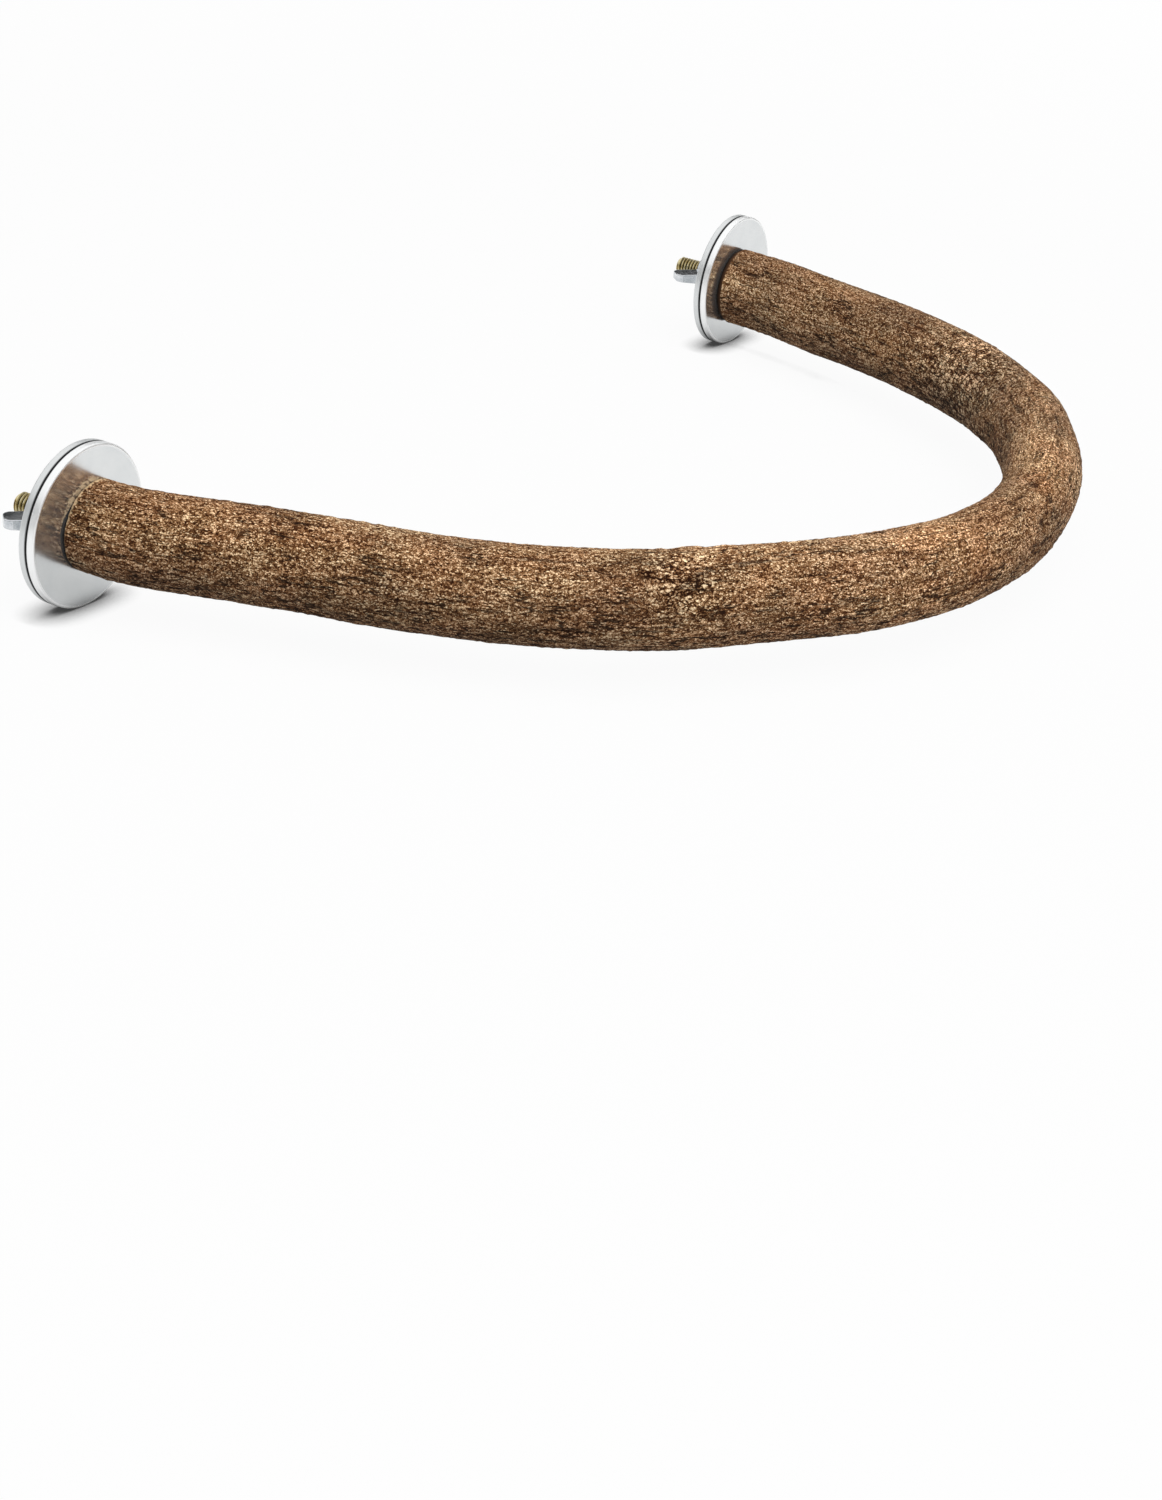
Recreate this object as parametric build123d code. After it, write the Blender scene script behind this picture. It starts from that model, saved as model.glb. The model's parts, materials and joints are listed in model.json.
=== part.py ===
from build123d import *
import math
import os

# U-shaped branch perch, clamped to a cage wall by a pair of washers and a wing nut at each end.
# Origin midway between the two bolt axes, on the plane where each pair of washers closes.
# +X runs from the cage wall to the bend, +Y to the right end as seen from the bend, +Z up.

# Overall
stud_spacing = 317.0  # between the two bolt axes

# Branch: its thickness, and how far its centreline lies inside the half ring through the bolt axes
left_thickness = 23.0  # of the left leg
right_thickness = 24.5  # of the right leg
bend_height = 24.0
bend_width = 22.0  # across the ring, at the thinnest part of the bend
left_end_inset = 1.5
left_leg_inset = 8.0
left_shoulder_inset = 4.0
right_end_inset = 2.5
right_leg_inset = 5.5
right_shoulder_inset = 4.0
bend_bulge = 1.0  # outside the half ring, at the middle of the bend
end_chamfer = 0.6  # broken edge of the sawn ends

# Washers, all four alike
washer_diameter = 40.0
washer_thickness = 2.2
washer_edge_round = 0.5
washer_hole_gap = 0.3  # between the hole and the thread crests, all round

# Hanger bolt, machine thread side
stud_diameter = 5.9  # over the thread crests
stud_reach = 18.5  # from the closing plane to the tip
stud_tip_chamfer = 0.6
thread_pitch = 1.0
thread_depth = 0.55
thread_crest = 0.16  # flat on top of the ridge
thread_half_angle = 30.0
thread_start = 0.4  # from the closing plane to the first turn
shank_diameter = 5.3  # plain length inside the inner washer

# Hanger bolt, wood thread side
lag_depth = 20.0  # into the wood
lag_tip_length = 4.0
lag_tip_diameter = 1.0
lag_core_diameter = 4.2
lag_thread_height = 0.8
lag_pitch = 2.5
lag_crest = 0.2
lag_half_angle = 22.0
pilot_spare_depth = 1.5  # empty end of the pilot hole beyond the tip

# Wing nut
nut_base_diameter = 12.0
nut_top_diameter = 10.0
nut_height = 8.0
nut_thread_gap = 0.1  # square to the thread flanks and crests
nut_crest_gap = 0.15  # between the nut's bore and the thread roots
nut_mouth_gap = 0.3  # countersunk mouths, wider than the thread crests
nut_edge_round = 0.4
wing_span = 27.0
wing_tilt = 45.0  # of each lug from the nut's axis
wing_width = 6.5
wing_root_height = 2.5  # of the lug's root above the nut's seat
wing_thickness = 2.4
wing_corner_round = 1.8
wing_edge_round = 0.5

# Values that follow from the sizes above
half_spacing = stud_spacing / 2
stud_radius = stud_diameter / 2
root_radius = stud_radius - thread_depth
washer_hole_radius = stud_radius + washer_hole_gap
nut_bore_radius = root_radius + nut_crest_gap

# One row per station round the half ring, with angle 0 at the middle of the bend:
# angle, inset of the centreline, width across the ring, height
branch_stations = [
    (-90, left_end_inset, left_thickness, left_thickness),
    (-75, left_leg_inset, left_thickness, left_thickness),
    (-60, left_leg_inset, left_thickness, left_thickness),
    (-45, left_shoulder_inset, bend_height, bend_height),
    (-30, left_shoulder_inset, bend_height, bend_height),
    (-15, 0, bend_height, bend_height),
    (0, -bend_bulge, bend_width, bend_height),
    (15, -bend_bulge, bend_width, bend_height),
    (30, 0, bend_height, bend_height),
    (45, 0, right_thickness, right_thickness),
    (60, right_shoulder_inset, right_thickness, right_thickness),
    (75, right_leg_inset, right_thickness, right_thickness),
    (90, right_end_inset, right_thickness, right_thickness),
]


def ridge_face(inner, top, crest, half_angle, gap=0.0):
    """Section of a thread ridge on XZ, from radius inner to top, grown square to its faces by gap."""
    slope = math.tan(math.radians(half_angle))
    side = gap / math.cos(math.radians(half_angle))
    outer = top + gap
    half_out = crest / 2 - gap * slope + side
    half_in = crest / 2 + (top - inner) * slope + side
    corners = [(inner, -half_in), (outer, -half_out), (outer, half_out), (inner, half_in)]
    return Plane.XZ * make_face(Polyline(*corners, close=True))


def thread_ridge(section, radius, pitch, start, length):
    """Right-hand ridge that climbs +Z from start."""
    turns = Helix(pitch=pitch, height=length, radius=radius)
    return Pos(0, 0, start) * sweep(section, path=turns, is_frenet=True)


def branch_centre(station):
    """Point of the centreline at one station."""
    angle, inset, width, height = station
    reach = half_spacing - inset
    along = reach * math.cos(math.radians(angle))
    across = reach * math.sin(math.radians(angle))
    return Vector(washer_thickness + end_chamfer + along, across, 0)


def oval(width, height):
    """Oval face in four arcs, with its height along local X."""
    arcs = [EllipticalCenterArc((0, 0), height / 2, width / 2, 90 * i, arc_size=90) for i in range(4)]
    return make_face(arcs)


def branch_plane(index):
    """Plane of one section, square to the centreline, and flat to the washer at the ends."""
    centre = branch_centre(branch_stations[index])
    if index == 0:
        heading = Vector(1, 0, 0)
    elif index == len(branch_stations) - 1:
        heading = Vector(-1, 0, 0)
    else:
        heading = branch_centre(branch_stations[index + 1]) - branch_centre(branch_stations[index - 1])
    return Plane(origin=centre, x_dir=(0, 0, 1), z_dir=heading)


def make_branch():
    """The bent branch with a pilot hole in each sawn end."""
    last = len(branch_stations) - 1
    sections = []
    for i in range(last + 1):
        angle, inset, width, height = branch_stations[i]
        sections.append(branch_plane(i) * oval(width, height))
    wood = loft(sections)
    for i, outwards in ((0, -end_chamfer), (last, end_chamfer)):
        angle, inset, width, height = branch_stations[i]
        sawn = branch_plane(i).offset(outwards) * oval(width - 2 * end_chamfer, height - 2 * end_chamfer)
        wood += loft([sections[i], sawn])
    for side in (-1, 1):
        mouth = Plane(origin=(washer_thickness, side * half_spacing, 0), z_dir=(1, 0, 0))
        wood -= mouth * extrude(Circle(lag_core_diameter / 2), lag_depth + pilot_spare_depth)
    return wood


def make_washer():
    """Flat ring, lying on the XY plane."""
    ring = extrude(Circle(washer_diameter / 2) - Circle(washer_hole_radius), washer_thickness)
    rim = ring.edges().filter_by(GeomType.CIRCLE).group_by(SortBy.RADIUS)[-1]
    return fillet(rim, washer_edge_round)


def make_bolt():
    """Hanger bolt on the Z axis: +Z is the machine thread, z 0 the closing plane."""
    thread_length = stud_reach - thread_start
    stud = extrude(Circle(root_radius), stud_reach)
    section = ridge_face(root_radius - nut_crest_gap / 2, stud_radius, thread_crest, thread_half_angle)
    stud += thread_ridge(section, root_radius, thread_pitch, thread_start, thread_length)
    blank = extrude(Circle(stud_diameter), stud_reach)
    stud &= chamfer(blank.edges().group_by(Axis.Z)[-1], stud_radius + stud_tip_chamfer)
    wood_end = -washer_thickness
    shank = Pos(0, 0, wood_end) * extrude(Circle(shank_diameter / 2), washer_thickness + thread_start)
    lag_core = lag_core_diameter / 2
    lag_straight = lag_depth - lag_tip_length
    core = Pos(0, 0, wood_end - lag_straight) * extrude(Circle(lag_core), lag_straight)
    tip_base = Plane(origin=(0, 0, wood_end - lag_straight), z_dir=(0, 0, -1))
    tip_end = tip_base.offset(lag_tip_length)
    tip = loft([tip_base * Circle(lag_core), tip_end * Circle(lag_tip_diameter / 2)])
    lag_section = ridge_face(lag_core - lag_crest, lag_core + lag_thread_height, lag_crest, lag_half_angle)
    lag_length = lag_straight - lag_pitch
    lag_start = wood_end - lag_straight + lag_pitch / 2
    lag = core + thread_ridge(lag_section, lag_core, lag_pitch, lag_start, lag_length)
    return stud + shank + lag + tip


def make_nut():
    """Wing nut on the Z axis, seated on the outer washer's back and in step with the bolt's thread."""
    seat = washer_thickness
    base = Plane.XY.offset(seat)
    top = Plane.XY.offset(seat + nut_height)
    body = loft([base * Circle(nut_base_diameter / 2), top * Circle(nut_top_diameter / 2)])
    body = fillet(body.edges().filter_by(GeomType.CIRCLE), nut_edge_round)
    tilt = math.radians(wing_tilt)
    corner_out = wing_corner_round + (wing_width / 2 - wing_corner_round) * math.cos(tilt)
    wing_length = wing_corner_round + (wing_span / 2 - corner_out - stud_radius) / math.sin(tilt)
    outline = Pos(wing_length / 2, 0) * Rectangle(wing_length, wing_width)
    outline = fillet(outline.vertices().group_by(Axis.X)[-1], wing_corner_round)
    lug = extrude(outline, wing_thickness / 2, both=True)
    lug = fillet(lug.edges(), wing_edge_round)
    lug_root = (stud_radius, 0, seat + wing_root_height)
    lug = Plane(origin=lug_root, x_dir=(math.sin(tilt), 0, math.cos(tilt)), z_dir=(0, 1, 0)) * lug
    lug -= base * extrude(Circle(wing_span), -wing_width)
    body = body + lug + mirror(lug, about=Plane.YZ)
    mouth_radius = stud_radius + nut_mouth_gap
    mouth_depth = mouth_radius - nut_bore_radius
    for face, inwards in ((base, mouth_depth), (top, -mouth_depth)):
        body -= loft([face * Circle(mouth_radius), face.offset(inwards) * Circle(nut_bore_radius)])
    turns_below = math.floor((seat - thread_start) / thread_pitch) - 1
    tap_start = thread_start + turns_below * thread_pitch
    tap_length = seat + nut_height + thread_pitch - tap_start
    groove_inner = nut_bore_radius - nut_crest_gap / 2
    groove = ridge_face(groove_inner, stud_radius, thread_crest, thread_half_angle, nut_thread_gap)
    tap = extrude(Circle(nut_bore_radius), tap_length + 2 * thread_pitch)
    tap = Pos(0, 0, tap_start - thread_pitch) * tap
    tap += thread_ridge(groove, root_radius, thread_pitch, tap_start, tap_length)
    return body - tap


branch = make_branch()
washer = make_washer()
bolt = make_bolt()
nut = make_nut()

pieces = {"perch_branch": branch}
for side, name in ((-1, "left"), (1, "right")):
    # local +Z points from the perch through the cage wall, local +X to the left
    end = Plane(origin=(0, side * half_spacing, 0), x_dir=(0, -1, 0), z_dir=(-1, 0, 0))
    pieces["hanger_bolt_" + name] = end * bolt
    pieces["inner_washer_" + name] = end.offset(-washer_thickness) * washer
    pieces["outer_washer_" + name] = end * washer
    pieces["wing_nut_" + name] = end * nut

os.makedirs("parts", exist_ok=True)
for name, piece in pieces.items():
    piece.label = name
    export_step(piece, "parts/" + name + ".step")
    print(name, "solids", len(piece.solids()), "volume", round(piece.volume, 1), "valid", piece.is_valid)
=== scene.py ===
import json
import math

import bpy
import numpy as np
from mathutils import Matrix, Vector


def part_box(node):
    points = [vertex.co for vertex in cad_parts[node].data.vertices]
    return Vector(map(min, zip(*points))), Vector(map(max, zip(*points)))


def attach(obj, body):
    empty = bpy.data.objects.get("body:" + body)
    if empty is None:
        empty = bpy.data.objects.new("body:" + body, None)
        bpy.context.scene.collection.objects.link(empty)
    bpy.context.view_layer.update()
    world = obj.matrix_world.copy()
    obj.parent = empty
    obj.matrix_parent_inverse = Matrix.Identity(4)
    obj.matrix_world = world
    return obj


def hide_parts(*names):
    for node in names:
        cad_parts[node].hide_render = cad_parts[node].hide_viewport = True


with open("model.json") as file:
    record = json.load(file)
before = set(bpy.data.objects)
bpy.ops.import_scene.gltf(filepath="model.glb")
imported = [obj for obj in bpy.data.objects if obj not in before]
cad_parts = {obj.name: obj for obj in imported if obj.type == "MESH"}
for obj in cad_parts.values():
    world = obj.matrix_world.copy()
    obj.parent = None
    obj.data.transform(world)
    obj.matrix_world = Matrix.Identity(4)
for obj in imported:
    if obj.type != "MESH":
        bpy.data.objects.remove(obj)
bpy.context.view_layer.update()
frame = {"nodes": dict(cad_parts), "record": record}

mm = 0.001
hair = 0.01 * mm  # places closer than this count as one
square = 0.9  # a face counts as square to an axis when its normal has more than this along it

# the hardware's places, read from the frame
washerLow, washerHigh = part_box("inner_washer_left")
washerThickness = washerHigh.x - washerLow.x
washerRadius = (washerHigh.z - washerLow.z) / 2
halfSpacing = frame["record"]["mounts"][0]["dims"]["spacing_x_mm"] / 2 * mm
endSide = {"left": -1, "right": 1}  # along Y


# small helpers for picking and shaping

def leaveEdit():
    if bpy.context.object and bpy.context.object.mode != "OBJECT":
        bpy.ops.object.mode_set(mode="OBJECT")


def pickNothing():
    leaveEdit()
    bpy.ops.object.select_all(action="DESELECT")


def pickOnly(piece):
    pickNothing()
    piece.select_set(True)
    bpy.context.view_layer.objects.active = piece


def newPiece(name):  # names what a primitive operator has just added
    piece = bpy.context.object
    piece.name = name
    piece.data.name = name
    return piece


def freeze(piece):  # place, turn and size go into the mesh
    pickOnly(piece)
    bpy.ops.object.transform_apply(location=True, rotation=True, scale=True)


def addCylinder(name, sides, radius, depth, place, **settings):
    pickNothing()
    bpy.ops.mesh.primitive_cylinder_add(
        vertices=sides, radius=radius, depth=depth, location=place, **settings,
    )
    piece = newPiece(name)
    freeze(piece)
    return piece


def clearPicks(piece, mode):
    pickOnly(piece)
    bpy.ops.object.mode_set(mode="EDIT")
    bpy.ops.mesh.select_mode(type=mode)
    bpy.ops.mesh.select_all(action="DESELECT")
    bpy.ops.object.mode_set(mode="OBJECT")


def pickFaces(piece, wanted):  # wanted(centre, normal) says which; ends in edit mode
    clearPicks(piece, "FACE")
    for face in piece.data.polygons:
        face.select = wanted(face.center, face.normal)
    bpy.ops.object.mode_set(mode="EDIT")


def pickEdges(piece, wanted):  # wanted(one end, other end) says which; ends in edit mode
    clearPicks(piece, "EDGE")
    points = piece.data.vertices
    for edge in piece.data.edges:
        first, second = edge.vertices
        edge.select = wanted(points[first].co, points[second].co)
    bpy.ops.object.mode_set(mode="EDIT")


def level(first, second):  # both ends of an edge at one height
    return abs(first.z - second.z) < hair


def pullPicked(x, y, z):  # picked faces drawn out to new ones
    bpy.ops.mesh.extrude_region_move(TRANSFORM_OT_translate={"value": (x, y, z)})


def scalePicked(centre, x, y, z):
    bpy.ops.transform.resize(value=(x, y, z), center_override=centre)


def roundPicked(reach, steps):  # picked edges rounded off
    bpy.ops.mesh.bevel(offset=reach, segments=steps, affect="EDGES")
    leaveEdit()


def useModifier(piece, kind, **settings):
    pickOnly(piece)
    modifier = piece.modifiers.new(kind.lower(), kind)
    for key, value in settings.items():
        setattr(modifier, key, value)
    bpy.ops.object.modifier_apply(modifier=modifier.name)


def fixNormals(piece):
    pickOnly(piece)
    bpy.ops.object.mode_set(mode="EDIT")
    bpy.ops.mesh.select_all(action="SELECT")
    bpy.ops.mesh.normals_make_consistent(inside=False)
    bpy.ops.object.mode_set(mode="OBJECT")


def smoothUnder(piece, degrees):
    pickOnly(piece)
    bpy.ops.object.shade_smooth_by_angle(angle=math.radians(degrees))


def readPoints(piece):
    flat = np.empty(len(piece.data.vertices) * 3)
    piece.data.vertices.foreach_get("co", flat)
    return flat.reshape(-1, 3)


def writePoints(piece, points):
    piece.data.vertices.foreach_set("co", points.ravel())
    piece.data.update()


def keepAsVector(piece, name, points):
    layer = piece.data.attributes.new(name, "FLOAT_VECTOR", "POINT")
    layer.data.foreach_set("vector", points.astype(np.float32).ravel())


def keepAsFloat(piece, name, values):
    layer = piece.data.attributes.new(name, "FLOAT", "POINT")
    layer.data.foreach_set("value", values.astype(np.float32))


def copyPiece(piece, name):  # a copy with its own mesh
    twin = piece.copy()
    twin.data = piece.data.copy()
    twin.name = name
    twin.data.name = name
    bpy.context.scene.collection.objects.link(twin)
    return twin


# small helpers for materials

def paint(red, green, blue):  # a colour as seen on screen, 0 to 255, for a shader socket
    channels = []
    for value in (red, green, blue):
        share = value / 255
        channels.append(share / 12.92 if share <= 0.04045 else ((share + 0.055) / 1.055) ** 2.4)
    return (*channels, 1)


def newMaterial(name):
    material = bpy.data.materials.new(name)
    material.use_nodes = True
    tree = material.node_tree
    return material, tree, tree.nodes["Principled BSDF"]


def setSockets(tree, node, sockets):  # a value is set, the output of another node is linked
    for key, value in sockets.items():
        if isinstance(value, bpy.types.NodeSocket):
            tree.links.new(value, node.inputs[key])
        else:
            node.inputs[key].default_value = value


def addNode(tree, kind, sockets, **settings):
    node = tree.nodes.new(kind)
    for key, value in settings.items():
        setattr(node, key, value)
    setSockets(tree, node, sockets)
    return node


def attribute(tree, name, output):
    return addNode(tree, "ShaderNodeAttribute", {}, attribute_name=name).outputs[output]


def objectPlace(tree):
    return addNode(tree, "ShaderNodeTexCoord", {}).outputs["Object"]


def axes(tree, vector):  # its X, Y and Z
    return addNode(tree, "ShaderNodeSeparateXYZ", {0: vector}).outputs


def stretched(tree, source, scale):
    return addNode(tree, "ShaderNodeMapping", {"Vector": source, "Scale": scale}).outputs["Vector"]


def noise(tree, source, row, output="Fac"):  # row: scale, and where wanted stretch, detail, roughness
    if "stretch" in row:
        source = stretched(tree, source, row["stretch"])
    sockets = {
        "Vector": source,
        "Scale": row["scale"],
        "Detail": row.get("detail", 2),
        "Roughness": row.get("roughness", 0.5),
    }
    return addNode(tree, "ShaderNodeTexNoise", sockets).outputs[output]


def maths(tree, operation, first, second=0):
    return addNode(tree, "ShaderNodeMath", {0: first, 1: second}, operation=operation).outputs[0]


def vectorMaths(tree, operation, sockets, output="Vector"):
    return addNode(tree, "ShaderNodeVectorMath", sockets, operation=operation).outputs[output]


def total(tree, first, *others):
    for other in others:
        first = maths(tree, "ADD", first, other)
    return first


def product(tree, first, *others):
    for other in others:
        first = maths(tree, "MULTIPLY", first, other)
    return first


def weighted(tree, *pairs):  # values added up by their weights
    return total(tree, *[product(tree, value, weight) for value, weight in pairs])


def spread(tree, value, fromLow, fromHigh, toLow, toHigh):
    sockets = {"Value": value, "From Min": fromLow, "From Max": fromHigh, "To Min": toLow, "To Max": toHigh}
    return addNode(tree, "ShaderNodeMapRange", sockets).outputs["Result"]


def cells(tree, source, scale):  # a tone for each cell, and the distance from its edge
    sockets = {"Vector": source, "Scale": scale}
    colour = addNode(tree, "ShaderNodeTexVoronoi", sockets, feature="F1").outputs["Color"]
    tone = addNode(tree, "ShaderNodeSeparateColor", {"Color": colour}).outputs["Red"]
    edge = addNode(tree, "ShaderNodeTexVoronoi", sockets, feature="DISTANCE_TO_EDGE").outputs["Distance"]
    return tone, edge


def veins(tree, source, row):  # 0 along the middle lines of a pattern
    return maths(tree, "ABSOLUTE", maths(tree, "SUBTRACT", noise(tree, source, row), 0.5))


def reachFrom(tree, place, inset):  # distance from a line along X, this far inside either bolt's axis
    mirrored = vectorMaths(tree, "ABSOLUTE", {0: place})
    across = vectorMaths(tree, "SUBTRACT", {0: mirrored, 1: (0, halfSpacing - inset, 0)})
    return vectorMaths(tree, "LENGTH", {0: stretched(tree, across, (0, 1, 1))}, "Value")


def ramp(tree, factor, stops):
    node = addNode(tree, "ShaderNodeValToRGB", {"Fac": factor})
    elements = node.color_ramp.elements
    while len(elements) < len(stops):
        elements.new(0.5)
    for element, (place, colour) in zip(elements, stops):
        element.position = place
        element.color = colour
    return node.outputs["Color"]


def mixColour(tree, blend, factor, first, second):
    sockets = {0: factor, 6: first, 7: second}
    return addNode(tree, "ShaderNodeMix", sockets, data_type="RGBA", blend_type=blend).outputs[2]


def cover(tree, share, colour, other):
    return mixColour(tree, "MIX", share, colour, other)


def tint(tree, share, colour, other):
    return mixColour(tree, "MULTIPLY", share, colour, other)


def bump(tree, height, strength, distance):
    sockets = {"Height": height, "Strength": strength, "Distance": distance}
    return addNode(tree, "ShaderNodeBump", sockets).outputs["Normal"]


# branch: a straight stick gets its bark, then it is bent along its line

branchSet = {
    # angle round the half ring, inset of the centreline, width across the ring, height, lift (mm)
    "stations": [
        (-90, 1.5, 23.0, 23.2, 0.1),
        (-75, 8.0, 23.6, 24.2, 0.7),
        (-60, 7.5, 23.2, 23.8, 0.4),
        (-45, 4.5, 24.0, 24.4, 0.3),
        (-30, 3.5, 24.0, 24.2, 0.5),
        (-15, 0.5, 23.5, 24.0, 0.2),
        (0, -0.7, 21.4, 23.5, 0.0),
        (15, 0.0, 20.8, 23.5, 0.0),
        (30, 0.6, 22.5, 24.0, 0.0),
        (45, 0.8, 23.8, 24.4, -0.2),
        (60, 4.0, 24.5, 24.5, -0.4),
        (75, 5.5, 24.5, 24.5, -1.0),
        (90, 1.7, 23.8, 23.8, -1.0),
    ],
    "lineSteps": 64,
    "startRadius": 12 * mm,  # of the plain stick, before it gets its thickness
    "around": 126,
    "cuts": (9, 63),  # subdivided twice along the length
    "barkAllowance": 0.35 * mm,  # the stick is this much thinner before its bark rises
    # grain size, stretch along the branch and full height of each layer of bark
    "relief": [
        ("lumps", "ORIGINAL_PERLIN", 17 * mm, 2.0, 0.9 * mm),
        ("ridges", "IMPROVED_PERLIN", 2.4 * mm, 9.0, 0.45 * mm),
        ("scales", "VORONOI_F2_F1", 1.7 * mm, 2.0, 0.35 * mm),
        ("grit", "ORIGINAL_PERLIN", 1.0 * mm, 1.6, 0.5 * mm),
    ],
    # along the stick (mm), round it (degrees, 0 inside the bend, 90 on top), length, width, rise (mm)
    "marks": [
        (128, 131, 4.5, 0.8, -0.6),
        (133, 138, 5.0, 0.7, -0.6),
        (131, 141, 3.5, 0.9, 0.4),
        (138, 136, 3.0, 0.6, -0.5),
        (140, 147, 5.0, 0.8, -0.6),
        (136, 144, 4.0, 0.7, 0.35),
        (143, 70, 3.0, 3.0, 0.5),
        (151, 80, 2.5, 2.5, 0.45),
        (159, 92, 3.0, 2.5, 0.4),
        (166, 140, 10.0, 0.7, -0.45),
        (190, 165, 12.0, 0.7, -0.45),
        (214, 190, 11.0, 0.7, -0.45),
        (253, 150, 2.0, 1.6, -0.8),
        (263, 98, 2.4, 1.8, -0.5),
        (377, 2, 2.2, 1.8, -0.8),
        (110, 202, 9.0, 0.9, -0.7),
    ],
    # cracks in the same units, strewn by a seed
    "seed": 7,
    "cracks": 90,
    "crackMargin": 5,  # kept free at both ends
    "crackLowShare": 0.6,  # this share lies about one bearing on the lower side
    "crackBearing": (225, 35),  # that bearing and its scatter
    "crackReach": (3, 11),
    "crackWidth": 0.45,
    "crackDepth": 0.5,
    "crackDepthShare": (0.4, 1.0),
    "endInset": 2 * mm,  # the sawn ends' middles lie about this far inside the bolts' axes
    "endChamfer": {"left": 0.6 * mm, "right": 1.5 * mm},  # along the branch
    "chamferDepth": 0.6 * mm,
    "pilotRadius": 2.1 * mm,
    "pilotDepth": 21.5 * mm,
    "smoothUnder": 50,  # degrees
}


def branchLine():  # the bent line, from the left end to the right one
    startX = washerThickness + branchSet["endChamfer"]["left"]
    lastX = washerThickness + branchSet["endChamfer"]["right"]
    curve = bpy.data.curves.new("branchLine", "CURVE")
    curve.dimensions = "3D"
    curve.twist_mode = "Z_UP"
    curve.resolution_u = branchSet["lineSteps"]
    spline = curve.splines.new("BEZIER")
    stations = branchSet["stations"]
    spline.bezier_points.add(len(stations) - 1)
    for point, row in zip(spline.bezier_points, stations):
        angle, inset, lift = row[0], row[1], row[4]
        reach = halfSpacing - inset * mm
        turn = math.radians(angle)
        nearX = lastX if row is stations[-1] else startX
        point.co = (nearX + reach * math.cos(turn), reach * math.sin(turn), lift * mm)
        point.handle_left_type = "AUTO"
        point.handle_right_type = "AUTO"
    line = bpy.data.objects.new("branchLine", curve)
    bpy.context.scene.collection.objects.link(line)
    bpy.context.view_layer.update()
    # both ends leave the washers square
    for index, heading in ((0, 1), (-1, -1)):
        point = spline.bezier_points[index]
        arm = Vector((heading * (point.handle_right - point.co).length, 0, 0))
        point.handle_left_type = "FREE"
        point.handle_right_type = "FREE"
        point.handle_left = point.co - arm
        point.handle_right = point.co + arm
    return line


def ringSizes(alongShare):  # half width and half height at a share of the length
    stations = branchSet["stations"]
    shares = np.linspace(0, 1, len(stations))
    widths = np.interp(alongShare, shares, [row[2] for row in stations])
    heights = np.interp(alongShare, shares, [row[3] for row in stations])
    return widths * mm / 2, heights * mm / 2


def layBark(stick, name, basis, grain, stretch, height):  # one layer of relief, drawn out along the stick
    pattern = bpy.data.textures.new(name, "CLOUDS")
    pattern.noise_basis = basis
    pattern.noise_scale = grain
    pattern.noise_depth = 1
    bpy.ops.object.empty_add()
    guide = bpy.context.object
    guide.scale = (stretch, 1, 1)
    bpy.context.view_layer.update()
    useModifier(
        stick, "DISPLACE", texture=pattern, texture_coords="OBJECT", texture_coords_object=guide,
        strength=height, mid_level=0.5,
    )
    bpy.data.objects.remove(guide)
    bpy.data.textures.remove(pattern)


def crackRows(length):  # many long narrow cracks, most of them on the lower outer side
    draw = np.random.default_rng(branchSet["seed"])
    margin = branchSet["crackMargin"]
    rows = []
    while len(rows) < branchSet["cracks"]:
        along = draw.uniform(margin, length / mm - margin)
        lowSide = draw.uniform() < branchSet["crackLowShare"]
        roundDegrees = draw.normal(*branchSet["crackBearing"]) if lowSide else draw.uniform(0, 360)
        reach = draw.uniform(*branchSet["crackReach"])
        depth = draw.uniform(*branchSet["crackDepthShare"]) * branchSet["crackDepth"]
        rows.append((along, roundDegrees, reach, branchSet["crackWidth"], -depth))
    return rows


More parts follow.
